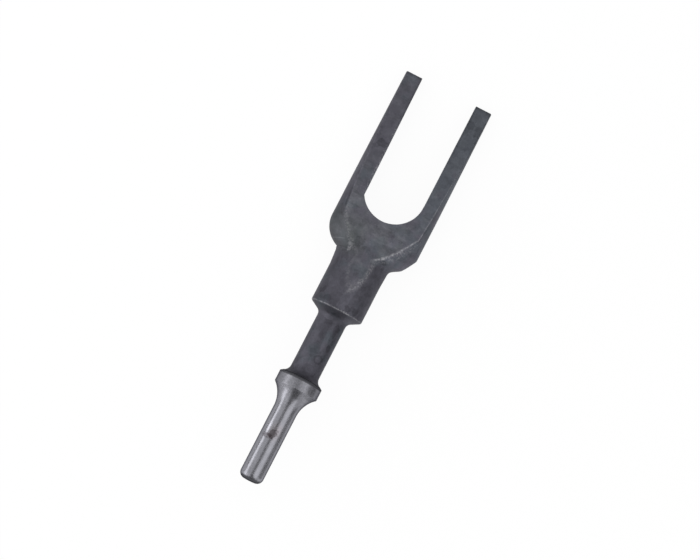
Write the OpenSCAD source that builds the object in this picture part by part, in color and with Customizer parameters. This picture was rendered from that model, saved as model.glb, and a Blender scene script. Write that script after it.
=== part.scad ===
// Fork chisel for an air hammer: a one-piece forging with a ground shank.
// The tool is drawn standing on its struck end, with its length along Z, its width along X and its
// thickness along Y. Each part is then laid on the lower face of the fork's wedge, as the tool lies
// on a bench, with the tines pointing along +Y.

/* [Overall] */
// Length of the tool, from the struck end to the tips of the tines
tool_l = 178; // [170:1:200]

/* [Shank] */
// Diameter of the ground shank, which slides in the hammer's barrel
shank_d = 10.2; // [9:0.1:12.7]
// Length of the straight ground shank
shank_l = 31.7; // [26:0.1:36]
// Radius round the edge of the struck end
end_r = 2.4; // [1:0.1:3.5]

/* [Collar] */
// Diameter of the collar that the retaining spring holds
collar_d = 18.9; // [16:0.1:22]
// Width of the collar's land
collar_w = 4.8; // [2.5:0.1:6]
// Radius of the flare that leads from the shank out to the collar
flare_r = 12.5; // [9:0.5:18]
// Width of the bevel on the collar's upper edge, across the tool
rim_bevel_w = 1.1; // [0.5:0.1:1.6]
// Height of that bevel, along the tool
rim_bevel_h = 0.75; // [0.3:0.05:1.2]

/* [Neck] */
// Diameter of the neck
neck_d = 12.7; // [11:0.1:14]
// Length of the neck, from the collar to the foot of the body's shoulder
neck_l = 26.3; // [22:0.1:29]
// Radius between the neck and the collar
neck_foot_r = 3.3; // [2.5:0.1:4.5]

/* [Body] */
// Diameter of the round body
body_d = 22.7; // [20:0.1:24]
// Radius between the neck and the body's shoulder
shoulder_foot_r = 2.6; // [2:0.1:4]
// Slope of the body's shoulder, from square to the tool's axis
shoulder_rise = 29.5; // [15:0.1:35]
// Bevel on the shoulder's sharp edge
shoulder_bevel = 0.4; // [0.2:0.05:1]
// Length of the round body, from its shoulder's edge to the point of the wedge's flats
round_l = 10.65; // [8:0.05:13]

/* [Yoke] */
// Distance from the point of the wedge's flats to the yoke, where the body starts to spread
flat_lead_l = 6; // [4:0.5:8]
// Length of the yoke, from the body to where the tines are straight
yoke_l = 36.6; // [35:0.1:42]
// Distance from the yoke's start to the hollow that leads out to the shoulders
cove_start = 3.2; // [1:0.1:5]
// Radius of that hollow, seen from the front
cove_r = 6.6; // [5:0.1:9]
// Radius of the shoulders, seen from the front
shoulder_r = 13; // [10:0.5:16]
// How much further the sides slope in at the shoulders than the round bar would
side_slope = 7.4; // [0:0.1:8]
// Distance from the yoke's start to where the sides slope most
slope_at = 12; // [10:0.5:14]

/* [Fork] */
// Width of the opening between the tines, at their roots
gap_w = 23.8; // [20:0.1:26]
// Width of each tine at its root
tine_root_w = 7.9; // [6.5:0.1:9]
// Width of each tine at its tip
tine_tip_w = 7.2; // [5:0.1:7.9]
// Thickness of each tine at its tip
tip_t = 6; // [4:0.1:7]
// How much larger the punched crotch's radius is than half of the opening's width
crotch_extra = 0.74; // [0.6:0.02:1.5]
// Distance that the crotch stands off the tool's centre line, towards the left tine
crotch_shift = 0.6; // [0:0.05:0.6]

/* [Smoothness] */
// Number of facets on each rounded side of the yoke
side_facets = 22; // [12:2:30]
// Height of each ring of facets in the yoke
ring_h = 0.85; // [0.7:0.05:2]

/* [Hidden] */
$fn = 96;

bright_steel = [0.60, 0.60, 0.61];
forge_scale = [0.24, 0.24, 0.26];

// Radii of the round parts
shank_r = shank_d / 2;
collar_r = collar_d / 2;
neck_r = neck_d / 2;
body_r = body_d / 2;

// The body's shoulder: where its slope leaves the foot's radius, and how far it rises in all
slope_foot_x = neck_r + shoulder_foot_r * (1 - sin(shoulder_rise));
slope_foot_z = shoulder_foot_r * cos(shoulder_rise);
shoulder_h = slope_foot_z + (body_r - slope_foot_x) * tan(shoulder_rise);

// Heights up the standing tool
flare_h = sqrt(pow(flare_r, 2) - pow(flare_r - (collar_r - shank_r), 2));
collar_z = shank_l + flare_h;
neck_z = collar_z + collar_w + rim_bevel_h;
body_z = neck_z + neck_l;
wedge_z = body_z + shoulder_h + round_l;
yoke_z = wedge_z + flat_lead_l;
tine_z = yoke_z + yoke_l;

// The two faces of the wedge
tip_half_t = tip_t / 2;
wedge_fall = (body_r - tip_half_t) / (tool_l - wedge_z);
wedge_angle = atan(wedge_fall);

// Places across the tool
fork_half_w = gap_w / 2 + tine_root_w;
crotch_r = gap_w / 2 + crotch_extra;
side_lean = atan((tine_root_w - tine_tip_w) / 2 / (tool_l - tine_z));

// The yoke's outline: the hollow runs into the rounded shoulder, and both arcs are tangent there
spread_w = fork_half_w - body_r;
spread_l = sqrt(2 * spread_w * (cove_r + shoulder_r) - pow(spread_w, 2));
turn_at = cove_start + spread_l * cove_r / (cove_r + shoulder_r);
full_width_at = cove_start + spread_l;

// Reach of a cutter beyond the solid that it cuts
over = 2;

// Half of the thickness between the wedge's faces, at a height up the tool
function wedge_half_t(z) = body_r - (z - wedge_z) * wedge_fall;

// Half of the yoke's width at a height u above the yoke's start
function yoke_half_w(u) =
    u <= cove_start ? body_r
    : u <= turn_at ? body_r + cove_r - sqrt(pow(cove_r, 2) - pow(u - cove_start, 2))
    : u < full_width_at ? fork_half_w - shoulder_r + sqrt(pow(shoulder_r, 2) - pow(full_width_at - u, 2))
    : fork_half_w;

// Width of the rounded side at a height u above the yoke's start
function side_swell(u) = pow(cos(90 * min(1, abs(u - slope_at) / slope_at)), 2);
function side_w(u) = body_r + side_slope * side_swell(u);

// One rounded side of the yoke, from its upper flat to its lower flat
function yoke_side(u) =
    let(flat_at = asin(wedge_half_t(yoke_z + u) / body_r))
    [for (i = [0 : side_facets])
        let(turn = flat_at * (1 - 2 * i / side_facets))
        [yoke_half_w(u) - side_w(u) * (1 - cos(turn)), body_r * sin(turn)]];

// One ring round the yoke: the right side going down, and the left side going up
function yoke_ring(u) =
    let(side = yoke_side(u), z = yoke_z + u)
    concat(
        [for (p = side) [p[0], p[1], z]],
        [for (i = [side_facets : -1 : 0]) [-side[i][0], side[i][1], z]]);

// Skin that joins rings of points, each with the same number of points, into one closed solid
module loft(rings) {
    count = len(rings[0]);
    last = len(rings) - 1;
    points = [for (ring = rings) for (p = ring) p];
    sides = [for (k = [0 : last - 1]) for (i = [0 : count - 1])
        let(j = (i + 1) % count, a = k * count, b = (k + 1) * count)
        each [[a + i, a + j, b + j], [a + i, b + j, b + i]]];
    bottom = [[for (i = [count - 1 : -1 : 0]) i]];
    top = [[for (i = [0 : count - 1]) last * count + i]];
    polyhedron(points, concat(bottom, sides, top), convexity = 4);
}

// Lays the standing tool on the lower face of its wedge, with its box centred over the origin
module lay_on_wedge() {
    back_y = end_r * (cos(wedge_angle) - 1) - (shank_r - end_r) * sin(wedge_angle);
    front_y = tool_l * cos(wedge_angle) + tip_half_t * sin(wedge_angle);
    rise = tool_l * sin(wedge_angle) + tip_half_t * cos(wedge_angle);
    translate([0, -(back_y + front_y) / 2, rise])
        rotate([-90 - wedge_angle, 0, 0])
        children();
}

// A flat outline in X and Z, given thickness t along Y
module through_thickness(t) {
    rotate([90, 0, 0]) linear_extrude(t, center = true) children();
}

// The two chips that the wedge's faces take off a solid that rises to height top
module wedge_chips(top) {
    low = wedge_z - over;
    out = body_r + over;
    for (side = [0, 1])
        mirror([0, side, 0])
        rotate([90, 0, 90])
        linear_extrude(2 * (fork_half_w + over), center = true)
        polygon([
            [wedge_half_t(low), low],
            [wedge_half_t(top), top],
            [out, top],
            [out, low]]);
}

// Straight ground shank, with a rounded struck end
module shank() {
    color(bright_steel)
    lay_on_wedge()
    rotate_extrude() {
        square([shank_r - end_r, end_r]);
        translate([0, end_r]) square([shank_r, shank_l - end_r]);
        intersection() {
            translate([shank_r - end_r, end_r]) circle(end_r);
            square([shank_r, end_r]);
        }
    }
}

// Flare and collar, turned and ground with the shank
module collar() {
    color(bright_steel)
    lay_on_wedge()
    translate([0, 0, shank_l])
    rotate_extrude() {
        difference() {
            square([shank_r + flare_r, flare_h]);
            translate([shank_r + flare_r, 0]) circle(flare_r);
        }
        translate([0, flare_h]) polygon([
            [0, 0],
            [collar_r, 0],
            [collar_r, collar_w],
            [collar_r - rim_bevel_w, collar_w + rim_bevel_h],
            [0, collar_w + rim_bevel_h]]);
    }
}

// Round neck, hollowed into the collar's bevelled rim
module neck() {
    rim_r = collar_r - rim_bevel_w;
    foot_h = sqrt(pow(neck_foot_r, 2) - pow(neck_r + neck_foot_r - rim_r, 2));
    color(forge_scale)
    lay_on_wedge()
    translate([0, 0, neck_z])
    rotate_extrude() {
        square([neck_r, neck_l]);
        difference() {
            square([neck_r + neck_foot_r, foot_h]);
            translate([neck_r + neck_foot_r, foot_h]) circle(neck_foot_r);
        }
    }
}

// Round body: its shoulder, and the points of the wedge's two flats
module body() {
    color(forge_scale)
    lay_on_wedge()
    difference() {
        translate([0, 0, body_z])
        rotate_extrude()
        difference() {
            polygon([
                [0, 0],
                [neck_r, 0],
                [slope_foot_x, slope_foot_z],
                [body_r - shoulder_bevel, shoulder_h - shoulder_bevel * tan(shoulder_rise)],
                [body_r, shoulder_h + shoulder_bevel],
                [body_r, yoke_z - body_z],
                [0, yoke_z - body_z]]);
            translate([neck_r + shoulder_foot_r, 0]) circle(shoulder_foot_r);
        }
        wedge_chips(yoke_z + over);
    }
}

// Yoke: the round body spreads to the fork's shoulders, round the punched crotch
module yoke() {
    ring_count = ceil(yoke_l / ring_h);
    color(forge_scale)
    lay_on_wedge()
    difference() {
        loft([for (k = [0 : ring_count]) yoke_ring(yoke_l * k / ring_count)]);
        through_thickness(body_d)
        intersection() {
            translate([-crotch_shift, tine_z]) circle(crotch_r);
            translate([-gap_w / 2, tine_z - crotch_r - over]) square([gap_w, crotch_r + 2 * over]);
        }
    }
}

// Right tine: a straight inner wall, and an outer side with the round bar's own radius
module tine() {
    tine_l = tool_l - tine_z;
    inner_lean = (tine_root_w - tine_tip_w) / 2;
    difference() {
        intersection() {
            through_thickness(body_d)
            polygon([
                [gap_w / 2, tine_z],
                [gap_w / 2 + inner_lean, tool_l],
                [fork_half_w + over, tool_l],
                [fork_half_w + over, tine_z]]);
            translate([fork_half_w - body_r, 0, tine_z])
            rotate([0, -side_lean, 0])
            translate([0, 0, -over])
            cylinder(tine_l + 2 * over, body_r, body_r);
        }
        wedge_chips(tool_l + over);
    }
}

module right_tine() {
    color(forge_scale) lay_on_wedge() tine();
}

module left_tine() {
    color(forge_scale) lay_on_wedge() mirror([1, 0, 0]) tine();
}

shank();
collar();
neck();
body();
yoke();
left_tine();
right_tine();
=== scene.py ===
import math

import bmesh
import bpy
import numpy as np
from mathutils import Matrix, Vector


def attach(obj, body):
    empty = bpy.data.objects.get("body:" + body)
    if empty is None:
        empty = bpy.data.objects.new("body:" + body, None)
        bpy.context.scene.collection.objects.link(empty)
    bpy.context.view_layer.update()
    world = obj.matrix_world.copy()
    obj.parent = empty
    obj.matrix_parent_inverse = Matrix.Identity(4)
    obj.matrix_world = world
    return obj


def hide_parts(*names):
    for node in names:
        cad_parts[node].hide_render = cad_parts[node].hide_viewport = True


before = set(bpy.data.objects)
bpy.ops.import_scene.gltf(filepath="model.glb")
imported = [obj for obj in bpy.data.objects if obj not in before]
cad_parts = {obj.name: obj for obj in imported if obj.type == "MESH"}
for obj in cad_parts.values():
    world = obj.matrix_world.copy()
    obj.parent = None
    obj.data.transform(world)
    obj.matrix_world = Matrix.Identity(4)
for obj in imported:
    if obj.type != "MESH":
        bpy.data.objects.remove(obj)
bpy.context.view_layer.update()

# The bench: a white sheet under soft lamps, seen from straight above, as the tool was photographed.
# The sheet, the lamps and the dark cards that the ground steel reflects aren't part of the tool.
# Sizes are in metres here, and a pixel of the picture is PIXEL wide at PIXEL_HEIGHT above the sheet.
CAMERA_TURN = 27.3
CAMERA_HEIGHT = 3.2
CAMERA_RANGE = (0.01, 20)
FILM_WIDTH = 36
PICTURE_WIDTH = 700
PIXEL = 0.0004064
PIXEL_HEIGHT = 0.012
LOOKED_AT = (-0.00092, 0.0024)
SHEET_REACH = 3
SHEET_GREY = 0.93
SHEET_GLOW = 0.94
ROOM_LIGHT = 0.75
ROOM_SEEN_LIGHT = 0.25


class Wire:
    """What a node gives, with arithmetic that adds Math nodes to its tree."""

    def __init__(self, socket):
        self.socket = socket

    def __getitem__(self, name):
        return Wire(self.socket.node.outputs[name])

    def maths(self, operation, *values, clamp=False):
        """A Math node in this wire's tree."""
        numbered = dict(enumerate(values))
        return wired(self.socket.id_data, "ShaderNodeMath", numbered, operation=operation, use_clamp=clamp)

    def __add__(self, other):
        return self.maths("ADD", self, other)

    def __radd__(self, other):
        return self.maths("ADD", other, self)

    def __sub__(self, other):
        return self.maths("SUBTRACT", self, other)

    def __rsub__(self, other):
        return self.maths("SUBTRACT", other, self)

    def __mul__(self, other):
        return self.maths("MULTIPLY", self, other)

    def __rmul__(self, other):
        return self.maths("MULTIPLY", other, self)

    def __truediv__(self, other):
        return self.maths("DIVIDE", self, other)

    def __rtruediv__(self, other):
        return self.maths("DIVIDE", other, self)

    def __abs__(self):
        return self.maths("ABSOLUTE", self)

    def __gt__(self, other):
        return self.maths("GREATER_THAN", self, other)

    def root(self):
        return self.maths("SQRT", self)

    def exponential(self):
        return self.maths("EXPONENT", self)

    def sine(self):
        return self.maths("SINE", self)

    def cosine(self):
        return self.maths("COSINE", self)

    def low(self, other):
        return self.maths("MINIMUM", self, other)

    def high(self, other):
        return self.maths("MAXIMUM", self, other)

    def between(self, low, high):
        return self.high(low).low(high)

    def soft_high(self, other, width):
        return self.maths("SMOOTH_MAX", self, other, width)

    def soft_low(self, other, width):
        return self.maths("SMOOTH_MIN", self, other, width)

    def held(self):
        """The same, held between 0 and 1."""
        return self.maths("ADD", self, 0.0, clamp=True)


def wired(tree, kind, values=None, gives=None, **settings):
    """Adds one node: its settings first, then the values or wires of its sockets."""
    node = tree.nodes.new(kind)
    for name, value in settings.items():
        setattr(node, name, value)
    for name, value in (values or {}).items():
        socket = node.inputs[name]
        if isinstance(value, Wire):
            tree.links.new(value.socket, socket)
        else:
            socket.default_value = value
    if gives is not None:
        return Wire(node.outputs[gives])
    shown = [socket for socket in node.outputs if socket.enabled]
    return Wire(shown[0]) if shown else node


def new_material(name):
    """A material with an empty node tree, and the tree."""
    material = bpy.data.materials.new(name)
    material.use_nodes = True
    material.node_tree.nodes.clear()
    return material, material.node_tree


def placed(name, data):
    """A new object in the scene."""
    thing = bpy.data.objects.new(name, data)
    bpy.context.scene.collection.objects.link(thing)
    return thing


def flat_sheet(name, corners, finish):
    """A flat shape between its corners."""
    mesh = bpy.data.meshes.new(name)
    mesh.from_pydata(corners, [], [tuple(range(len(corners)))])
    mesh.materials.append(finish)
    return placed(name, mesh)


def seen_rays(tree):
    """1 on the rays that show a surface to the eye, straight or in a reflection, and 0 on the others."""
    path = wired(tree, "ShaderNodeLightPath")
    return (path["Is Camera Ray"] + path["Is Glossy Ray"] + path["Is Transmission Ray"]).held()


def lamp(name, place, size, brightness, aim):
    """A rectangular soft lamp whose face has this brightness, where white paper's is 1."""
    light = bpy.data.lights.new(name, "AREA")
    light.shape, light.size, light.size_y = "RECTANGLE", *size
    light.energy = brightness * math.pi * size[0] * size[1]
    thing = placed(name, light)
    thing.location = place
    thing.rotation_euler = (Vector(place) - Vector(aim)).to_track_quat("Z", "Y").to_euler()
    return thing


def dark_card(name, grey, corners):
    """A dark felt card that only shows where polished metal reflects it."""
    felt, tree = new_material(name)
    nap = wired(tree, "ShaderNodeBsdfDiffuse", {"Color": (grey, grey, grey, 1)})
    wired(tree, "ShaderNodeOutputMaterial", {"Surface": nap})
    card = flat_sheet(name, corners, felt)
    for rays in ("camera", "diffuse", "transmission", "shadow", "volume_scatter"):
        setattr(card, "visible_" + rays, False)


camera = placed("camera", bpy.data.cameras.new("camera"))
camera.data.sensor_width = FILM_WIDTH
camera.data.lens = FILM_WIDTH * (CAMERA_HEIGHT - PIXEL_HEIGHT) / (PICTURE_WIDTH * PIXEL)
camera.data.clip_start, camera.data.clip_end = CAMERA_RANGE
camera.location = (*LOOKED_AT, CAMERA_HEIGHT)
camera.rotation_euler = (0, 0, math.radians(CAMERA_TURN))
bpy.context.scene.camera = camera
bpy.context.scene.view_settings.view_transform = "Standard"

sheet_finish, tree = new_material("white_sheet")
seen = seen_rays(tree)
paper = wired(tree, "ShaderNodeBsdfDiffuse", {"Color": (SHEET_GREY, SHEET_GREY, SHEET_GREY, 1)})
glow = wired(tree, "ShaderNodeEmission", {"Color": (1, 1, 1, 1), "Strength": 1.0})
both = wired(tree, "ShaderNodeMixShader", {0: seen * SHEET_GLOW, 1: paper, 2: glow})
wired(tree, "ShaderNodeOutputMaterial", {"Surface": both})
white_sheet = flat_sheet("white_sheet", [
    (-SHEET_REACH, -SHEET_REACH, 0), (SHEET_REACH, -SHEET_REACH, 0),
    (SHEET_REACH, SHEET_REACH, 0), (-SHEET_REACH, SHEET_REACH, 0),
], sheet_finish)

room = bpy.data.worlds.new("room")
bpy.context.scene.world = room
room.use_nodes = True
tree = room.node_tree
tree.nodes.clear()
walls = wired(tree, "ShaderNodeBackground", {"Strength": seen_rays(tree) * ROOM_SEEN_LIGHT + ROOM_LIGHT})
wired(tree, "ShaderNodeOutputWorld", {"Surface": walls})

# Each lamp: where it hangs, its width and height, its brightness, and where it points
lamp("strip_lamp_left", (-0.85, -0.35, 0.37), (2.3, 0.33), 1.6, (0, -0.35, 0.01))
lamp("strip_lamp_low", (-0.8, -0.8, 0.13), (0.9, 0.2), 0.95, (0, -0.1, 0.02))
lamp("soft_lamp_left", (-0.5, -1.2, 0.74), (4.0, 0.5), 0.1, (0, -1.2, 0.01))
lamp("soft_lamp_far", (-0.52, -0.6, 0.8), (0.9, 0.6), 0.18, (0, -0.1, 0.02))
lamp("soft_lamp_right", (0.52, -0.05, 0.74), (1.7, 0.62), 0.57, (0, -0.05, 0.01))
fill_lamp = lamp("fill_lamp", (-0.4, 0.2, 1.0), (1.6, 1.6), 0.6, (0, 0, 0))
fill_lamp.visible_glossy = False

# Each card: how light it is, and its corners
dark_card("card_above", 0.3, [
    (-0.19, 0.33, 1.2), (-0.19, -0.2, 1.2), (-0.3, -0.7, 1.2), (-0.42, -2.2, 1.2), (-0.6, -3.5, 1.2),
    (1.4, -3.5, 1.2), (1.35, -2.3, 1.2), (0.75, -0.85, 1.2), (0.17, -0.2, 1.2), (0.14, 0.33, 1.2),
])
dark_card("card_behind", 0.3, [
    (-0.6, -3.5, 0.02), (1.2, -3.5, 0.02), (1.4, -3.5, 1.2), (-0.6, -3.5, 1.2),
])
dark_card("card_left", 0.3, [
    (-1.0, -0.3, 0.02), (-1.0, 1.0, 0.02), (-1.0, 1.0, 0.22), (-1.0, -0.3, 0.22),
])
dark_card("card_right", 0.42, [
    (1.0, -0.3, 0.02), (1.0, 1.0, 0.02), (1.0, 1.0, 0.5), (1.0, -0.3, 0.5),
])
dark_card("card_low", 0.42, [
    (0.08, -0.1, 0.001), (1.0, -0.3, 0.001), (1.0, 1.0, 0.001), (0.08, 1.0, 0.001),
])

# The turned end: the straight shank that slides in the hammer, and the flare and collar that the
# hammer's spring holds. It is bare steel, turned in one piece with the forging behind it and then
# ground round its axis. Sizes are in millimetres, up the tool from its struck end.
WEDGE_LEAN = 5.301941
TOOL_BACK = -88.627946
TOOL_RISE = 19.435134
TO_BENCH = (
    Matrix.Scale(0.001, 4)
    @ Matrix.Translation((0, TOOL_BACK, TOOL_RISE))
    @ Matrix.Rotation(math.radians(-90 - WEDGE_LEAN), 4, "X")
)
TURNED_SIZES = {
    "Shank radius": 5.1,
    "Shank length": 31.7,
    "Struck end round": 2.8,
    "Flare radius": 12.5,
    "Flare round share": 0.97,
    "Collar radius": 9.45,
    "Collar width": 4.8,
    "Collar edge round": 0.3,
    "Rim bevel width": 1.1,
    "Rim bevel height": 0.75,
    "Rim edge round": 0.22,
    "Facets round": 256.0,
}
ROUND_FACETS = 24
SHUT_GAP = 0.0005
STEEL_LIGHTNESS = 0.285
STEEL_TINT = (1, 1, 1.1)
RUST_TINT = (1.05, 1.0, 1.08)
STAIN_COLOUR = (0.072, 0.06, 0.066, 1)
UNGROUND_COLOUR = (0.095, 0.095, 0.105, 1)
STEEL_ROUGHNESS = 0.245
STEEL_EDGE_TINT = (0.2, 0.2, 0.2, 1)
GRIND_DEPTH = 0.00004
GRIND_STRENGTH = 0.35
FLARE_EDGE = (31.0, 36.0)
LAND_EDGE = (41.0, 41.5)
UNGROUND_EDGE = (45.0, 45.45)
DARKER_END_EDGE = (1.5, 0.9)
UP, DOWN, RIGHT, LEFT = (0, 0, 1), (0, 0, -1), (1, 0, 0), (-1, 0, 0)


def size_sockets(tree, sizes):
    """Gives a tree one named input for each size, and their wires inside the tree."""
    for name, value in sizes.items():
        socket = tree.interface.new_socket(name, in_out="INPUT", socket_type="NodeSocketFloat")
        socket.default_value = value
    inside = wired(tree, "NodeGroupInput")
    return {name: inside[name] for name in sizes}


def grown(name, tree, sizes):
    """Runs a tree on an empty object, and gives what it makes as a plain mesh object."""
    seed = placed(name, bpy.data.meshes.new(name))
    modifier = seed.modifiers.new("shape", "NODES")
    modifier.node_group = tree
    for socket in tree.interface.items_tree:
        if socket.in_out == "INPUT" and socket.name in sizes:
            modifier[socket.identifier] = sizes[socket.name]
    ready = seed.evaluated_get(bpy.context.evaluated_depsgraph_get())
    made = bpy.data.meshes.new_from_object(ready)
    seed.modifiers.remove(modifier)
    seed.data = made
    return seed


def cut_piece(skin, name, cuts, stands_for, finish):
    """Cuts a closed piece from a skin, lays it on the bench and keeps the skin's own shading.

    Each cut is a point of the tool and the direction in which the metal is taken away."""
    work = bmesh.new()
    work.from_mesh(skin.data)
    capped = work.faces.layers.int.new("cap")
    for place, away in cuts:
        parts = work.verts[:] + work.edges[:] + work.faces[:]
        bmesh.ops.bisect_plane(
            work, geom=parts, dist=1e-5, plane_co=place, plane_no=away, clear_outer=True
        )
        rims = [edge for edge in work.edges if edge.is_boundary]
        for face in bmesh.ops.holes_fill(work, edges=rims, sides=0)["faces"]:
            face[capped] = 1
    bmesh.ops.transform(work, matrix=TO_BENCH, verts=work.verts)
    mesh = bpy.data.meshes.new(name)
    work.to_mesh(mesh)
    work.free()
    corners = np.zeros(len(mesh.loops), np.int32)
    mesh.loops.foreach_get("vertex_index", corners)
    normals = np.zeros(len(mesh.vertices) * 3, np.float32)
    mesh.attributes["skin_normal"].data.foreach_get("vector", normals)
    turn = np.array(TO_BENCH.to_3x3().normalized())
    normals = (normals.reshape(-1, 3) @ turn.T)[corners]
    caps = np.zeros(len(mesh.polygons), np.int32)
    mesh.attributes["cap"].data.foreach_get("value", caps)
    for face in np.flatnonzero(caps):
        polygon = mesh.polygons[face]
        normals[polygon.loop_start:polygon.loop_start + polygon.loop_total] = polygon.normal
    mesh.polygons.foreach_set("use_smooth", np.ones(len(mesh.polygons), bool))
    lengths = np.linalg.norm(normals, axis=1, keepdims=True)
    mesh.normals_split_custom_set((normals / np.maximum(lengths, 1e-9)).tolist())
    mesh.attributes.remove(mesh.attributes["skin_normal"])
    mesh.attributes.remove(mesh.attributes["cap"])
    mesh.materials.clear()
    mesh.materials.append(finish)
    piece = placed(name, mesh)
    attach(piece, "root")
    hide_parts(stands_for)
    return piece


def chosen_by_index(index, kind, choices):
    """A field that takes the choice at each point's own index."""
    tree = index.socket.id_data
    node = tree.nodes.new("GeometryNodeIndexSwitch")
    node.data_type = kind
    while len(node.index_switch_items) < len(choices):
        node.index_switch_items.new()
    tree.links.new(index.socket, node.inputs["Index"])
    for socket, choice in zip(node.inputs[1:], choices):
        if isinstance(choice, Wire):
            tree.links.new(choice.socket, socket)
        else:
            socket.default_value = choice
    return Wire(node.outputs[0])


turned_tree = bpy.data.node_groups.new("turned_end", "GeometryNodeTree")
turned_tree.interface.new_socket("Geometry", in_out="OUTPUT", socket_type="NodeSocketGeometry")
size = size_sockets(turned_tree, TURNED_SIZES)
spread = size["Collar radius"] - size["Shank radius"]
flare_cos = 1 - spread / size["Flare radius"]
flare_sin = (1 - flare_cos * flare_cos).root()
flare_half_tan = flare_sin / (1 + flare_cos)
flare_top = size["Shank length"] + size["Flare radius"] * flare_sin
land_top = flare_top + size["Collar width"]
rim_top = land_top + size["Rim bevel height"]
rim_radius = size["Collar radius"] - size["Rim bevel width"]
flare_corner = size["Shank length"] + size["Flare radius"] * flare_half_tan

# Each corner of the outline: its distance from the axis, its height, and its round
outline_corners = [
    (0.0, 0.0, 0.0),
    (size["Shank radius"], 0.0, size["Struck end round"]),
    (size["Shank radius"], flare_corner, size["Flare radius"] * size["Flare round share"]),
    (size["Collar radius"], flare_top, size["Collar edge round"]),
    (size["Collar radius"], land_top, size["Rim edge round"]),
    (rim_radius, rim_top, 0.0),
    (0.0, rim_top, 0.0),
]
index = wired(turned_tree, "GeometryNodeInputIndex")
places = [
    wired(turned_tree, "ShaderNodeCombineXYZ", {"X": from_axis - 1.0, "Y": 0 - height})
    for from_axis, height, _ in outline_corners
]
rounds = [corner_round for _, _, corner_round in outline_corners]
line = wired(turned_tree, "GeometryNodeMeshLine", {"Count": len(places)})
line = wired(turned_tree, "GeometryNodeMeshToCurve", {"Mesh": line})
line = wired(turned_tree, "GeometryNodeSetPosition", {
    "Geometry": line,
    "Position": chosen_by_index(index, "VECTOR", places),
})
line = wired(turned_tree, "GeometryNodeFilletCurve", {
    "Curve": line,
    "Radius": chosen_by_index(index, "FLOAT", rounds),
    "Count": ROUND_FACETS,
}, mode="POLY")
ring = wired(turned_tree, "GeometryNodeCurvePrimitiveCircle", {
    "Resolution": size["Facets round"],
    "Radius": 1.0,
})
ring = wired(turned_tree, "GeometryNodeSetCurveNormal", {"Curve": ring}, mode="Z_UP")
turned = wired(turned_tree, "GeometryNodeCurveToMesh", {"Curve": ring, "Profile Curve": line})
turned = wired(turned_tree, "GeometryNodeFlipFaces", {"Mesh": turned})
turned = wired(turned_tree, "GeometryNodeMergeByDistance", {"Geometry": turned, "Distance": SHUT_GAP})
turned = wired(turned_tree, "GeometryNodeStoreNamedAttribute", {
    "Geometry": turned,
    "Name": "skin_normal",
    "Value": wired(turned_tree, "GeometryNodeInputNormal"),
}, data_type="FLOAT_VECTOR")
turned = wired(turned_tree, "GeometryNodeRealizeInstances", {"Geometry": turned})


def tool_place(tree):
    """The place on the standing tool in millimetres, whole and as its x, y and z."""
    spot = wired(tree, "ShaderNodeTexCoord", gives="Object")
    spot = wired(tree, "ShaderNodeMapping", {
        "Vector": spot,
        "Location": (0, TOOL_BACK / 1000, TOOL_RISE / 1000),
        "Rotation": (math.radians(-90 - WEDGE_LEAN), 0, 0),
        "Scale": (0.001, 0.001, 0.001),
    }, vector_type="TEXTURE")
    x = wired(tree, "ShaderNodeSeparateXYZ", {0: spot})
    return spot, x, x["Y"], x["Z"]


def grain(spot, per_mm, detail=2.0, rough=0.5, stretch=(1, 1, 1), lean=0.0, offset=0.0):
    """A noise pattern, with this many grains to the millimetre."""
    tree = spot.socket.id_data
    spot = wired(tree, "ShaderNodeMapping", {
        "Vector": spot,
        "Location": (offset, offset * 1.7, 0),
        "Rotation": (0, math.radians(lean), 0),
        "Scale": tuple(per_mm * part for part in stretch),
    })
    noise = {"Vector": spot, "Scale": 1.0, "Detail": detail, "Roughness": rough}
    return wired(tree, "ShaderNodeTexNoise", noise, noise_dimensions="3D")


def swing(pattern, share):
    """A pattern's swing to either side of 0."""
    return (pattern - 0.5) * share


def ease(value, low, high):
    """0 below low, 1 above high, and a smooth rise between; the other way round if low is higher."""
    limits = {"Value": value, "From Min": low, "From Max": high}
    return wired(value.socket.id_data, "ShaderNodeMapRange", limits, interpolation_type="SMOOTHSTEP")


def blot(place, centre, reach, wobble=0.0, edge=0.12):
    """1 inside an oval spot that reaches this far along x, y and z, fading to 0 at its edge."""
    x, y, z = [(part - at) / half for part, at, half in zip(place, centre, reach)]
    return ease((x * x + y * y + z * z).root() + wobble, 1.0 + edge, 1.0 - edge)


def blended(share, first, second):
    """Two colours, mixed by a share."""
    return wired(share.socket.id_data, "ShaderNodeMix", {
        "Factor": share,
        6: first,
        7: second,
    }, gives=2, data_type="RGBA", blend_type="MIX", clamp_factor=True)


def tinted(lightness, tint):
    """A colour of one hue whose lightness is a wire."""
    parts = {channel: lightness * share for channel, share in enumerate(tint)}
    return wired(lightness.socket.id_data, "ShaderNodeCombineXYZ", parts)


# Ground steel: rings from grinding, a duller land, a brown stain on the shank with a painted highlight above
# it, painted shade on the flare, scale left on the collar's rear edge, and a darker, rougher struck end
ground_steel, tree = new_material("ground_steel")
spot, x, y, z = tool_place(tree)
here = (x, y, z)
rings = grain(spot, 1.0, 3.0, 0.6, (0.25, 0.25, 7.0))
fine_rings = grain(spot, 1.0, 2.0, 0.5, (0.6, 0.6, 22.0), offset=5.0)
clouds = grain(spot, 0.22, 3.0, 0.55)
specks = grain(spot, 1.6, 2.0, 0.6, offset=3.0)
grit = grain(spot, 1.0, 2.0, 0.7, (2.0, 2.0, 1.1), offset=11.0)
on_flare = ease(z, *FLARE_EDGE)
on_land = ease(z, *LAND_EDGE)
unground = ease(z + swing(specks, 0.5), *UNGROUND_EDGE)
# The struck end is darker and rougher
darker_end = ease(z + swing(specks, 1.2), *DARKER_END_EDGE)

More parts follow.
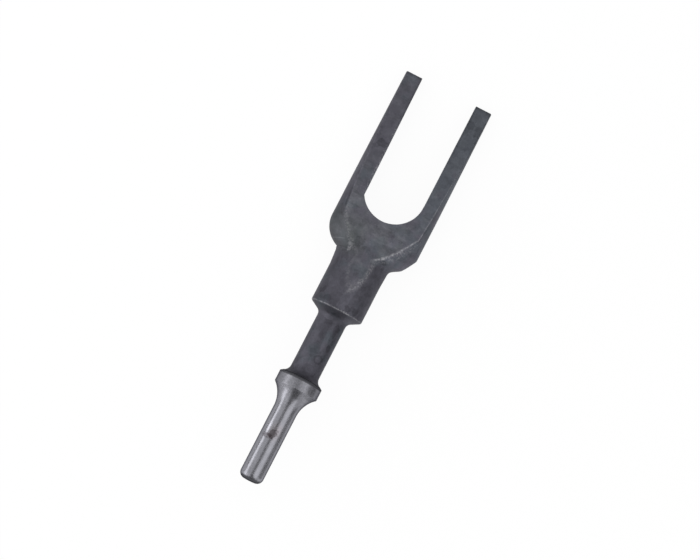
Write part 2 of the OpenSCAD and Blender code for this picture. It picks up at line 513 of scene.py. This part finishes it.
smudge = blot(here, (-2.2, -4.6, 19.4), (2.1, 3.4, 1.0), swing(specks, 1.2), 0.4)
# A painted highlight: a lighter patch along the shank's left highlight, above the stain
shank_painted_highlight = blot(here, (-2.8, -4.3, 23.0), (0.7, 3.0, 2.2), swing(grit, 2.4), 0.4)
core = blot(here, (-0.2, -4.9, 21.1), (1.65, 3.6, 2.2), swing(specks, 1.6) + swing(grit, 1.2), 0.35)
rust = blot(here, (0.4, -4.9, 22.0), (2.4, 4.0, 3.4), swing(specks, 1.0), 0.6)
stain = (smudge * 0.5 + core * 0.74).held()
# A darker worn patch on the land's right end, and painted shade where the flare's top right meets the land
worn_and_shaded_land = blot(here, (5.8, -7.5, 43.8), (1.9, 4.0, 2.2), swing(specks, 1.5))
worn_and_shaded_land = (worn_and_shaded_land + blot(here, (6.0, -6.0, 40.4), (2.4, 4.0, 1.1), swing(specks, 1.5))).held()

lightness = STEEL_LIGHTNESS * (1 + swing(rings, 0.26) + swing(fine_rings, 0.14) + swing(clouds, 0.4))
lightness = lightness * (1 + (grit - 0.5) * (0.42 + on_flare * 0.4))
# Painted shade: the flare is made 6% darker, which dims its lamp highlights
lightness = lightness * (1 - on_land * (0.12 + swing(specks, 0.7)) - on_flare * 0.06)
lightness = lightness * (1 - worn_and_shaded_land * 0.24) * (1 - darker_end * 0.6) * (1 + shank_painted_highlight * (1 - stain) * 0.3)
metal = blended(rust, tinted(lightness, STEEL_TINT), tinted(lightness, RUST_TINT))
metal = blended(stain, metal, STAIN_COLOUR)
metal = blended(unground, metal, UNGROUND_COLOUR)
rough = STEEL_ROUGHNESS + on_land * 0.12 + swing(clouds, 0.1) + swing(grit, 0.16)
rough = rough + stain * 0.25 + (darker_end + unground) * 0.25
bump = wired(tree, "ShaderNodeBump", {
    "Strength": GRIND_STRENGTH,
    "Distance": GRIND_DEPTH,
    "Height": rings * 0.6 + fine_rings * 0.4 + grit * (0.5 + on_land * 0.5),
})
surface = wired(tree, "ShaderNodeBsdfPrincipled", {
    "Base Color": metal,
    "Metallic": 1.0,
    "Roughness": rough,
    "Normal": bump,
    "Specular Tint": STEEL_EDGE_TINT,
})
wired(tree, "ShaderNodeOutputMaterial", {"Surface": surface})
turned = wired(turned_tree, "GeometryNodeSetMaterial", {"Geometry": turned, "Material": ground_steel})
wired(turned_tree, "NodeGroupOutput", {0: turned})
turned_skin = grown("turned_skin", turned_tree, TURNED_SIZES)

# Both pieces are cut from the one skin where the flare starts, so no seam shows between them
flare_start = (0, 0, TURNED_SIZES["Shank length"])
shank = cut_piece(turned_skin, "ground_shank", [(flare_start, UP)], "shank", ground_steel)
collar = cut_piece(turned_skin, "ground_collar", [(flare_start, DOWN)], "collar", ground_steel)
bpy.data.objects.remove(turned_skin)

# The forging: the round bar's neck and body, the yoke that spreads to the shoulders, and the tines.
# It is one drop forging in dark scale, with two flats along it that close on the tips as a wedge,
# and a crotch punched between the tines. Its two sides differ a little, as the dies left them.
# The neck, body, yoke and tines start at the heights where the solids meet.
BLANK_SIZES = {
    "Neck start": 46.727737,
    "Neck radius": 6.35,
    "Neck foot round": 3.3,
    "Collar rim radius": 8.35,
    "Body start": 73.027737,
    "Body radius": 11.35,
    "Shoulder foot round": 2.6,
    "Shoulder rise": 29.5,
    "Wedge start": 88.022876,
    "Tip half thickness": 3.0,
    "Tool length": 178.0,
    "Yoke start": 94.022876,
    "Tine start": 130.622876,
    "Left draft": 0.085,
    "Left hollow start": 6.35,
    "Left hollow slope": 1.5,
    "Left hollow round": 1.7,
    "Left shoulder radius": 11.5,
    "Left shoulder end": 18.3,
    "Left shoulder top": 19.76,
    "Left half width": 19.76,
    "Left side slope": 7.4,
    "Left slope hold": 0.0,
    "Right draft": 0.045,
    "Right hollow start": 7.26,
    "Right hollow slope": 1.7,
    "Right hollow round": 3.0,
    "Right shoulder radius": 40.0,
    "Right shoulder end": 33.6,
    "Right shoulder top": 23.65,
    "Right half width": 19.8,
    "Right side slope": 7.2,
    "Right slope hold": 7.5,
    "Hollow to shoulder round": 0.8,
    "Steepest slope at": 12.0,
    "Narrowing start": 24.0,
    "Narrowing length": 12.0,
    "Tine side slope": 9.1,
    "Corner edge": 0.35,
    "Half opening": 11.9,
    "Opening shift": 0.25,
    "Tine root width": 7.9,
    "Tine tip width": 7.2,
    "Crotch radius": 12.64,
    "Crotch shift": 0.6,
    "Crotch lead": 0.1,
    "Shoulder edge": 0.8,
    "Crease edge": 0.5,
    "Crotch edge": 0.6,
    "Tip edge": 0.3,
    "Forging waves": 0.08,
    "Waves fade": 4.0,
}
WAVES_PER_MM = 0.16
SKIN_STEP = 0.25
SKIN_LOW = (-21.0, -12.5, 44.0)
SKIN_HIGH = (21.0, 12.5, 179.0)
SETTLING_ROUNDS = 2
SLOPE_REACH = 0.04
LEAST_STEEPNESS = 0.05
SHOULDER_TURN_LIMIT = 0.95
SIDE_SINE_LIMIT = 0.999
LEAN_STEP = 0.1
SCALE_LIGHTNESS = 0.0935
COOL_TINT = (0.925, 1.0, 1.17)
WARM_TINT = (1.02, 1.0, 1.2)
OLIVE_TINT = (0.94, 1.0, 1.03)
WORN_AND_HIGHLIGHT_COLOUR = (0.34, 0.34, 0.36, 1)
SCALE_ROUGHNESS = 0.6
SCALE_EDGE_TINT = (0.8, 0.8, 0.8, 1)
SCALE_DEPTH = 0.00006
SCALE_STRENGTH = 0.5
RING_CENTRE = (2.4, 56.0)
RING_RADIUS = 1.6

# Single marks in the scale: where each one lies, how far it reaches, and how strong it is
DARK_MARKS = (
    ((-14.2, -4.5, 146.6), (2.3, 3.0, 2.0), 0.28),
    ((14.0, -3.5, 169.8), (1.4, 3.0, 1.6), 0.2),
    ((18.0, -3.5, 168.4), (1.8, 3.0, 2.2), 0.2),
    ((-4.6, -9.0, 106.0), (2.2, 3.0, 2.4), 0.14),
    ((-9.0, -9.0, 82.5), (1.6, 4.0, 1.6), 0.2),
    ((-5.8, -9.5, 80.0), (1.5, 4.0, 1.4), 0.18),
    ((3.4, -10.0, 79.6), (1.4, 4.0, 1.3), 0.24),
    ((8.2, -9.0, 103.0), (0.9, 3.0, 0.9), 0.26),
    ((-7.5, -9.0, 99.5), (1.6, 4.0, 2.4), 0.14),
    ((6.8, -9.0, 79.7), (1.3, 4.0, 1.7), 0.2),
    ((3.4, -5.5, 69.3), (1.2, 4.0, 2.4), 0.2),
    ((4.0, -5.0, 61.8), (1.0, 4.0, 1.3), 0.22),
    ((-1.0, -9.0, 71.6), (2.6, 5.0, 0.9), 0.12),
    ((3.0, -8.0, 114.8), (4.5, 4.0, 1.8), 0.12),
)
PALE_MARKS = (
    ((-1.8, -6.0, 73.6), (1.6, 4.0, 0.9), 0.2),
    ((6.5, -6.0, 75.2), (2.2, 6.0, 1.0), 0.16),
    ((0.8, -6.0, 51.0), (1.5, 4.0, 1.3), 0.14),
    ((-1.6, -6.0, 53.4), (1.7, 4.0, 2.2), 0.14),
    ((1.5, -6.0, 66.0), (1.0, 4.0, 7.0), 0.17),
    ((-2.0, -9.0, 109.0), (4.0, 4.0, 3.5), 0.1),
)

# The distance group: how far a place is outside the forging, and from the lines that wear and painted
# highlights follow
gap_tree = bpy.data.node_groups.new("distance_to_skin", "GeometryNodeTree")
for name in ("Distance", "Crease", "Rim", "Inner"):
    gap_tree.interface.new_socket(name, in_out="OUTPUT", socket_type="NodeSocketFloat")
gap_tree.interface.new_socket("Place", in_out="INPUT", socket_type="NodeSocketVector")
size = size_sockets(gap_tree, BLANK_SIZES)
place = size["Neck start"]["Place"]
x = wired(gap_tree, "ShaderNodeSeparateXYZ", {0: place})
y, z = x["Y"], x["Z"]

# Neck, its foot on the collar, and the body's shoulder, all round the axis
radius = (x * x + y * y).root()
slope = size["Shoulder rise"] * (math.pi / 180)
slope_sin, slope_cos = slope.sine(), slope.cosine()
foot_height = size["Shoulder foot round"] * slope_cos
foot_rise = (z - size["Body start"]).between(0.0, foot_height)
foot_turn = foot_rise / size["Shoulder foot round"]
foot_lean = (1 - foot_turn * foot_turn).root()
past_foot = (z - size["Body start"] - foot_height).high(0.0)
cove_reach = size["Neck radius"] + size["Neck foot round"] - size["Collar rim radius"]
cove_height = (size["Neck foot round"] * size["Neck foot round"] - cove_reach * cove_reach).root()
cove_fall = (size["Neck start"] + cove_height - z).between(0.0, cove_height)
cove_turn = cove_fall / size["Neck foot round"]
cove_lean = (1 - cove_turn * cove_turn).root()
neck_side = (
    radius
    - size["Neck radius"]
    - size["Shoulder foot round"] * (1 - foot_lean)
    - past_foot * (slope_cos / slope_sin)
    - size["Neck foot round"] * (1 - cove_lean)
) * foot_lean * cove_lean
body_side = radius - size["Body radius"]
rim_gap = neck_side - body_side
round_part = neck_side.soft_high(body_side, size["Shoulder edge"])

# Yoke's sides: each runs out to a hollow, then round its shoulder to the tine's outer side, over a
# section that slopes in. The two dies left the right shoulder with more of a corner than the left.
on_right = x > 0.0
up = z - size["Yoke start"]
past_root = (z - size["Tine start"]).high(0.0)
tine_length = size["Tool length"] - size["Tine start"]
inner_lean = (size["Tine root width"] - size["Tine tip width"]) / 2 / tine_length
tip_half_width = size["Half opening"] + inner_lean * tine_length + size["Tine tip width"]


def this_side(name):
    """A size of whichever side the place is on."""
    return size["Left " + name] + (size["Right " + name] - size["Left " + name]) * on_right


def outline(side, up):
    """Half of the shoulders' width on one side, at a height above the yoke's start."""
    part = {name[len(side) + 1:]: size[name] for name in BLANK_SIZES if name.startswith(side)}
    drafted = size["Body radius"] + up * part["draft"]
    hollow = size["Body radius"] + (up - part["hollow start"]) * part["hollow slope"]
    turn = ((part["shoulder end"] - up) / part["shoulder radius"]).between(0.0, SHOULDER_TURN_LIMIT)
    shoulder = part["shoulder top"] - part["shoulder radius"] * (1 - (1 - turn * turn).root())
    spreading = hollow.soft_low(shoulder, size["Hollow to shoulder round"])
    return spreading.soft_high(drafted, part["hollow round"])


def shoulder_at(up):
    """The same on whichever side the place is."""
    left, right = outline("Left", up), outline("Right", up)
    return left + (right - left) * on_right


side_sin = (abs(y) / size["Body radius"]).low(SIDE_SINE_LIMIT)
side_cos = (1 - side_sin * side_sin).root()


def side_gap(half_width, lean, side_width):
    """How far outside a side the place is, when the side falls away like a round bar's."""
    fall = side_width * side_sin / (size["Body radius"] * side_cos)
    return (abs(x) - half_width + side_width * (1 - side_cos)) / (1 + lean * lean + fall * fall).root()


past_steepest = up - size["Steepest slope at"]
past_steepest = past_steepest - past_steepest.between(0.0, this_side("slope hold"))
swell_turn = (abs(past_steepest) / size["Steepest slope at"]).low(1.0) * (math.pi / 2)
swell = swell_turn.cosine()
narrowing = ((up - size["Narrowing start"]) / size["Narrowing length"]).between(0.0, 1.0)
narrowing = narrowing * (size["Body radius"] - size["Tine side slope"])
shoulder = shoulder_at(up)
shoulder_lean = (shoulder_at(up + LEAN_STEP) - shoulder) / LEAN_STEP
shoulder_width = size["Body radius"] + this_side("side slope") * swell * swell - narrowing
straight = this_side("half width")
straight = straight - past_root * (straight - tip_half_width) / tine_length
yoke_side = side_gap(shoulder, shoulder_lean, shoulder_width).soft_high(
    side_gap(straight, 0.0, size["Tine side slope"]), size["Corner edge"]
)

# The wedge's two flats, which meet the sides in a crease
wedge_fall = size["Body radius"] - size["Tip half thickness"]
wedge_fall = wedge_fall / (size["Tool length"] - size["Wedge start"])
flat_face = abs(y) - size["Body radius"] + (z - size["Wedge start"]) * wedge_fall
flat_face = flat_face / (1 + wedge_fall * wedge_fall).root()
in_yoke = z > size["Yoke start"]
outer_side = round_part + (yoke_side - round_part) * in_yoke
crease_side = body_side + (yoke_side - body_side) * in_yoke
crease_gap = crease_side - flat_face
blank = outer_side.soft_high(flat_face, size["Crease edge"])

# The opening between the tines, and the crotch, punched a little larger and to the left
opening_shift = size["Opening shift"] * (1 - past_root / tine_length)
opening = abs(x - opening_shift) - size["Half opening"] - past_root * inner_lean
crotch_x = x + size["Crotch shift"]
crotch_z = (z - size["Tine start"]).low(0.0)
crotch = (crotch_x * crotch_x + crotch_z * crotch_z).root()
crotch = crotch - size["Crotch radius"] - past_root * size["Crotch lead"]
inner_gap = opening.high(crotch)
blank = blank.soft_high(0 - inner_gap, size["Crotch edge"])
blank = blank.soft_high(z - size["Tool length"], size["Tip edge"])

# Shallow waves that the dies leave in the scale, only ever below the true surface
waves = wired(gap_tree, "ShaderNodeTexNoise", {
    "Vector": place,
    "Scale": WAVES_PER_MM,
    "Detail": 2.0,
    "Roughness": 0.5,
}, noise_dimensions="3D")
fade = ((z - size["Neck start"] - cove_height) / size["Waves fade"]).between(0.0, 1.0)
blank = blank + waves * size["Forging waves"] * fade
wired(gap_tree, "NodeGroupOutput", {
    "Distance": blank,
    "Crease": crease_gap,
    "Rim": rim_gap,
    "Inner": inner_gap,
})

# The skin: a mesh round the places inside the forging, settled onto its true surface
skin_tree = bpy.data.node_groups.new("forged_skin", "GeometryNodeTree")
skin_tree.interface.new_socket("Geometry", in_out="OUTPUT", socket_type="NodeSocketGeometry")
size = size_sockets(skin_tree, BLANK_SIZES)


def distance_at(place):
    """The distance group at a place of the tool, with every size passed on."""
    return wired(skin_tree, "GeometryNodeGroup", {"Place": place, **size}, node_tree=gap_tree)


def vector_maths(operation, *values):
    """A Vector Math node in the skin's tree."""
    return wired(skin_tree, "ShaderNodeVectorMath", dict(enumerate(values)), operation=operation)


def steepest_rise(place):
    """Which way, and how fast, the distance grows at a place."""
    slopes = []
    for axis in ((SLOPE_REACH, 0, 0), (0, SLOPE_REACH, 0), (0, 0, SLOPE_REACH)):
        ahead = distance_at(vector_maths("ADD", place, axis))
        behind = distance_at(vector_maths("SUBTRACT", place, axis))
        slopes.append((ahead - behind) / (2 * SLOPE_REACH))
    return wired(skin_tree, "ShaderNodeCombineXYZ", dict(enumerate(slopes)))


place = wired(skin_tree, "GeometryNodeInputPosition")
counts = [round((high - low) / SKIN_STEP) + 1 for low, high in zip(SKIN_LOW, SKIN_HIGH)]
solid = wired(skin_tree, "GeometryNodeVolumeCube", {
    "Density": 0 - distance_at(place),
    "Background": -1.0,
    "Min": SKIN_LOW,
    "Max": SKIN_HIGH,
    "Resolution X": counts[0],
    "Resolution Y": counts[1],
    "Resolution Z": counts[2],
})
forged = wired(skin_tree, "GeometryNodeVolumeToMesh", {
    "Volume": solid,
    "Threshold": 0.0,
    "Adaptivity": 0.0,
}, resolution_mode="GRID")
for _ in range(SETTLING_ROUNDS):
    rise = steepest_rise(place)
    steepness = vector_maths("DOT_PRODUCT", rise, rise)["Value"]
    step = 0 - distance_at(place) / steepness.high(LEAST_STEEPNESS)
    back = wired(skin_tree, "ShaderNodeVectorMath", {0: rise, "Scale": step}, operation="SCALE")
    forged = wired(skin_tree, "GeometryNodeSetPosition", {"Geometry": forged, "Offset": back})
for name, kind, value in (
    ("skin_normal", "FLOAT_VECTOR", vector_maths("NORMALIZE", steepest_rise(place))),
    ("crease", "FLOAT", distance_at(place)["Crease"]),
    ("rim", "FLOAT", distance_at(place)["Rim"]),
    ("inner", "FLOAT", distance_at(place)["Inner"]),
):
    forged = wired(skin_tree, "GeometryNodeStoreNamedAttribute", {
        "Geometry": forged,
        "Name": name,
        "Value": value,
    }, data_type=kind)
forged = wired(skin_tree, "GeometryNodeRealizeInstances", {"Geometry": forged})


def gap_from(name):
    """A distance that the skin's points carry, in millimetres."""
    return wired(tree, "ShaderNodeAttribute", {}, gives="Fac", attribute_name=name)


def along(value, start, full, fading, end):
    """0 before start, 1 from full to fading and 0 after end, with a smooth rise and fall."""
    return ease(value, start, full) * ease(value, end, fading)


def bell(value, width):
    """1 at 0, fading to either side as a bell curve does."""
    turn = value / width
    return (0 - turn * turn).exponential()


# Forging scale: uneven dark grey in cloudy patches, lighter on the flats and smeared on the yoke's
forge_scale, tree = new_material("forge_scale")
spot, x, y, z = tool_place(tree)
here = (x, y, z)
crease, rim, inner = gap_from("crease"), gap_from("rim"), gap_from("inner")
clouds = grain(spot, 0.11, 3.0, 0.55)
hues = grain(spot, 0.1, 3.0, 0.55, offset=20.0)
mottle = grain(spot, 0.42, 4.0, 0.62, offset=7.0)
flakes = grain(spot, 0.3, 4.0, 0.6, offset=31.0)
specks = grain(spot, 1.5, 3.0, 0.65, offset=3.0)
rubbed = grain(spot, 0.5, 3.0, 0.65, offset=12.0)
grit = grain(spot, 1.3, 2.0, 0.7, offset=16.0)
strokes = grain(spot, 1.0, 3.0, 0.6, (0.13, 0.4, 0.7), 9.0, 9.0)
patches = wired(tree, "ShaderNodeTexVoronoi", {
    "Vector": spot,
    "Scale": 0.33,
    "Detail": 1.0,
    "Roughness": 0.4,
}, gives="Color", distance="CHEBYCHEV")
patches = wired(tree, "ShaderNodeSeparateColor", {0: patches})
on_flat = ease(crease, 0.4, -0.4)
on_side = 1 - on_flat
on_upper = ease(y, 1.0, -1.0)
on_tines = ease(z, 118.0, 134.0)
right_side = ease(x, 1.0, 6.0)
left_side = 1 - right_side
yoke_flat = on_flat * ease(z, 90.0, 104.0) * (1 - ease(z, 126.0, 142.0) * 0.6)
dark_flakes = ease(flakes, 0.54, 0.62)
pale_flakes = ease(flakes, 0.44, 0.36)
uneven = (swing(mottle, 0.75) + swing(specks, 0.6)) * (1 - on_tines * 0.42)
lightness = SCALE_LIGHTNESS * (1 + swing(clouds, 0.5) + uneven)
lightness = lightness * (1 - dark_flakes * 0.13 + pale_flakes * 0.1)
lightness = lightness * (1 + on_flat * 0.16 + yoke_flat * (0.2 + ease(z, 106.0, 113.0) * 0.1))
lightness = lightness * (1 + swing(patches, 0.14)) * (1 - ease(z, 114.0, 122.0) * 0.05)
smeared = ease(strokes, 0.56, 0.6) * 0.12 - ease(strokes, 0.42, 0.38) * 0.15
lightness = lightness * (1 + yoke_flat * ease(clouds, 0.38, 0.52) * smeared)

# Bright wear: a crisp line along the right crease with grainy wear under it, a fan of it down to the
# wedge's point, a fainter line and a knock on the left crease, and worn inner edges on the left tine
worn = ease(grit, 0.42, 0.68)
right_run = ease(z, 154.0, 138.0) * 0.75 + ease(z, 122.0, 112.0) * 0.25
right_run = right_side * ease(z, 99.5, 102.5) * right_run
left_run = left_side * along(z, 85.0, 88.0, 114.0, 126.0) * (0.14 + ease(z, 102.0, 97.0) * 0.2)
crease_line = bell(abs(crease), 0.13 + rubbed * 0.14) * (right_run + left_run)
crease_line = crease_line * (0.12 + ease(rubbed, 0.35, 0.6) * 0.3 + worn * 0.58)
fan_bend = ((85.4 - z) / 4.8).exponential()
fan_x = x - 5.0 + fan_bend * 5.4
fan_width = 2.5 - (z - 86.0).between(0.0, 10.0) * 0.1
fan = ease(abs(fan_x), fan_width, 0.1) * along(z, 81.0, 86.0, 101.5, 105.0) * ease(x, -1.6, 0.8) * on_upper
under = along(crease, 0.0, 0.15, 0.8, 2.6) * right_side * along(z, 101.0, 104.0, 110.0, 124.0)
left_fuzz = ease(abs(crease), 0.9, 0.1) * left_side * along(z, 101.0, 104.0, 112.0, 128.0)
knock = blot(here, (-7.5, -9.5, 103.8), (0.9, 3.0, 0.8), swing(specks, 2.4), 0.3)
knock_tail = blot(here, (-7.2, -9.5, 101.7), (0.7, 3.0, 1.0), swing(specks, 2.4), 0.3)
knock = (knock + knock_tail * 0.8).held() * (0.45 + worn * 0.4)
hook = blot(here, (6.9, -9.5, 104.5), (0.8, 3.0, 0.5), swing(grit, 1.0))
flat_drop = (z - BLANK_SIZES["Wedge start"]) * math.tan(math.radians(WEDGE_LEAN))
below_flat = BLANK_SIZES["Body radius"] - flat_drop - abs(y)
on_left_tine = ease(x, -8.0, -11.0) * along(z, 124.0, 130.0, 148.0, 162.0)
edge_wear = ease(inner, 1.5, 0.5) * (ease(rubbed, 0.5, 0.62) * 0.3 + on_left_tine)
edge_wear = edge_wear + ease(abs(crease), 0.6, 0.1) * on_left_tine * 0.2
edge_wear = edge_wear * ease(below_flat, 1.0, 0.3) * ease(grit, 0.5, 0.64)

# A crumpled bright line round the body's shoulder, a painted highlight along its edge, with grainy wear at
# its middle
rim = rim + swing(mottle, 0.7) + swing(specks, 0.5)
# The bright line on the rim is a painted highlight; the grit below adds wear
rim_highlight_and_wear = bell(abs(rim), 0.14 + rubbed * 0.25) * (0.25 + ease(specks, 0.42, 0.6) * 0.75)
mid_rim = ease(abs(x - 1.8), 4.5, 2.0)
rim_grit = ease(abs(rim), 0.9, 0.2) * ease(grit, 0.5, 0.62) * mid_rim
rim_highlight_and_wear = rim_highlight_and_wear * (0.65 + mid_rim * 0.3) + rim_grit * 0.45

bright = crease_line * 0.9 + fan * 0.11 + worn * (fan * 0.32 + under * 0.42 + left_fuzz * 0.34)
bright = bright + knock * 0.7 + hook * 0.4 + rim_highlight_and_wear + edge_wear * 0.5
bright = bright.between(0.0, 1.0)

# Darker scale: a painted shadow in the neck's foot, the ring that a marking left on the neck, painted shade
# down the neck's right and on the body's left, the root of each tine's outer side, the tips, and single
# marks
wobble = swing(mottle, 2.4)
# Painted shadow in the hollow where the neck's foot meets the collar
foot = ease(z + swing(mottle, 7), 51.2, 47.5)
ring_x, ring_z = (x - RING_CENTRE[0]) / RING_RADIUS, (z - RING_CENTRE[1]) / RING_RADIUS
off_ring = abs((ring_x * ring_x + ring_z * ring_z).root() - 1.0 + swing(specks, 0.5))
ring = ease(off_ring, 0.42, 0.05) * on_upper
# Painted shade: a darker band down the neck's right
neck_painted_shade = ease(abs(x - 4.1 + swing(mottle, 3.0)), 1.5, 0.4) * along(z, 52.0, 56.0, 69.0, 73.0) * on_upper
# Painted shade on the body's left side
body_left_painted_shade = ease(x, -1.5, -4.5) * ease(x, -11.2, -9.5) * along(z, 73.5, 76.0, 94.0, 102.0) * on_upper
right_root = right_side * on_side * along(z, 114.5, 117.5, 124.0, 131.0) * on_upper
left_root = left_side * along(z, 115.0, 118.0, 122.5, 127.0)
tip_edges = ease(inner, 1.2, 0.4) * ease(z, 142.0, 156.0) * 0.7 + ease(z, 176.4, 177.6)
dark = foot * 0.32 + ring * 0.27 + neck_painted_shade * 0.07 + body_left_painted_shade * 0.145 + right_root * 0.07
dark = dark + left_root * along(crease, 0.0, 0.3, 0.7, 1.5) * 0.3
dark = dark + tip_edges * 0.24 + ease(z, 150.0, 172.0) * 0.07
for centre, reach, share in DARK_MARKS:
    dark = dark + blot(here, centre, reach, wobble) * share

# Paler scale: a streak below the fan, partly wear and partly a painted highlight down the body's top,
# painted light on the body's right and on the sloping sides, and single marks
# A pale streak down the body's top: a painted highlight with some wear in it
streak = ease(abs(x - 0.4 - (z - 78.0) * 0.13 + swing(mottle, 2.0)), 2.3, 1.6)
streak = streak * along(z, 76.5, 78.5, 86.0, 96.0) * on_upper
# Painted light on the body's right and on the sloping sides
body_right_painted_light = ease(x, 3.5, 6.5) * along(z, 73.5, 76.0, 92.0, 100.0) * on_upper
right_slope_painted_light = right_side * on_side * along(z, 98.0, 106.0, 140.0, 165.0) * on_upper
left_slope_painted_light = left_side * on_side * along(z, 97.0, 101.0, 119.0, 127.0) * on_upper
left_tine_side_painted_light = left_side * on_side * along(z, 121.0, 127.0, 148.0, 162.0) * on_upper
pale = streak * (0.16 + worn * 0.12) + left_slope_painted_light * 0.06 + right_slope_painted_light * 0.47 + body_right_painted_light * 0.07
pale = pale + left_root * along(crease, -2.4, -1.0, -0.3, 0.1) * 0.12 + left_tine_side_painted_light * 0.14
for centre, reach, share in PALE_MARKS:
    pale = pale + blot(here, centre, reach, wobble) * share
off_scratch = abs(z - 103.4 - (x + 15.3) * 0.3)
scratch = ease(off_scratch, 0.3, 0.05) * along(x, -16.0, -15.0, -11.5, -10.0) * on_upper
lightness = lightness * (1 - dark) * (1 + pale + scratch * 0.45)

# Hues: bluer and warmer patches, and a touch of olive on the yoke
right_hue = ease(x, 3.0, 10.0) * ease(z, 126.0, 140.0)
left_hue = ease(x, -3.0, -10.0) * ease(z, 112.0, 130.0) * 0.6
left_hue = left_hue + ease(z, 106.0, 98.0) * (0.5 + ease(z, 66.0, 74.0) * 0.5)
warmth = ease(hues - right_hue * 0.14 + left_hue * 0.1, 0.42, 0.58)
left_yoke = ease(x, 1.0, -6.0) * along(z, 97.0, 103.0, 112.0, 119.0)
olive = (yoke_flat * ease(clouds, 0.44, 0.58) * 0.4 + left_yoke * 0.6).held()
scale_colour = blended(warmth, tinted(lightness, COOL_TINT), tinted(lightness, WARM_TINT))
scale_colour = blended(olive, scale_colour, tinted(lightness, OLIVE_TINT))
# Wear and the painted highlight on the shoulder's rim share this lighter colour
scale_colour = blended(bright, scale_colour, WORN_AND_HIGHLIGHT_COLOUR)
bump = wired(tree, "ShaderNodeBump", {
    "Strength": SCALE_STRENGTH,
    "Distance": SCALE_DEPTH,
    "Height": mottle * 1.2 + specks * 0.5 + dark_flakes * 0.3,
})
surface = wired(tree, "ShaderNodeBsdfPrincipled", {
    "Base Color": scale_colour,
    "Metallic": 1.0,
    "Roughness": SCALE_ROUGHNESS + swing(mottle, 0.3) + swing(specks, 0.2) - bright * 0.15,
    "Normal": bump,
    "Specular Tint": SCALE_EDGE_TINT,
})
wired(tree, "ShaderNodeOutputMaterial", {"Surface": surface})
forged = wired(skin_tree, "GeometryNodeSetMaterial", {"Geometry": forged, "Material": forge_scale})
wired(skin_tree, "NodeGroupOutput", {0: forged})
forged_skin = grown("forged_skin", skin_tree, BLANK_SIZES)

# All five pieces are cut from the one skin where the solids meet, so no seam shows between them
for name, node, cuts in (
    ("forged_neck", "neck", [("Neck start", DOWN), ("Body start", UP)]),
    ("forged_body", "body", [("Body start", DOWN), ("Yoke start", UP)]),
    ("forged_yoke", "yoke", [("Yoke start", DOWN), ("Tine start", UP)]),
    ("forged_left_tine", "left_tine", [("Tine start", DOWN), (None, RIGHT)]),
    ("forged_right_tine", "right_tine", [("Tine start", DOWN), (None, LEFT)]),
):
    planes = [((0, 0, BLANK_SIZES[height] if height else 0), away) for height, away in cuts]
    piece = cut_piece(forged_skin, name, planes, node, forge_scale)
bpy.data.objects.remove(forged_skin)
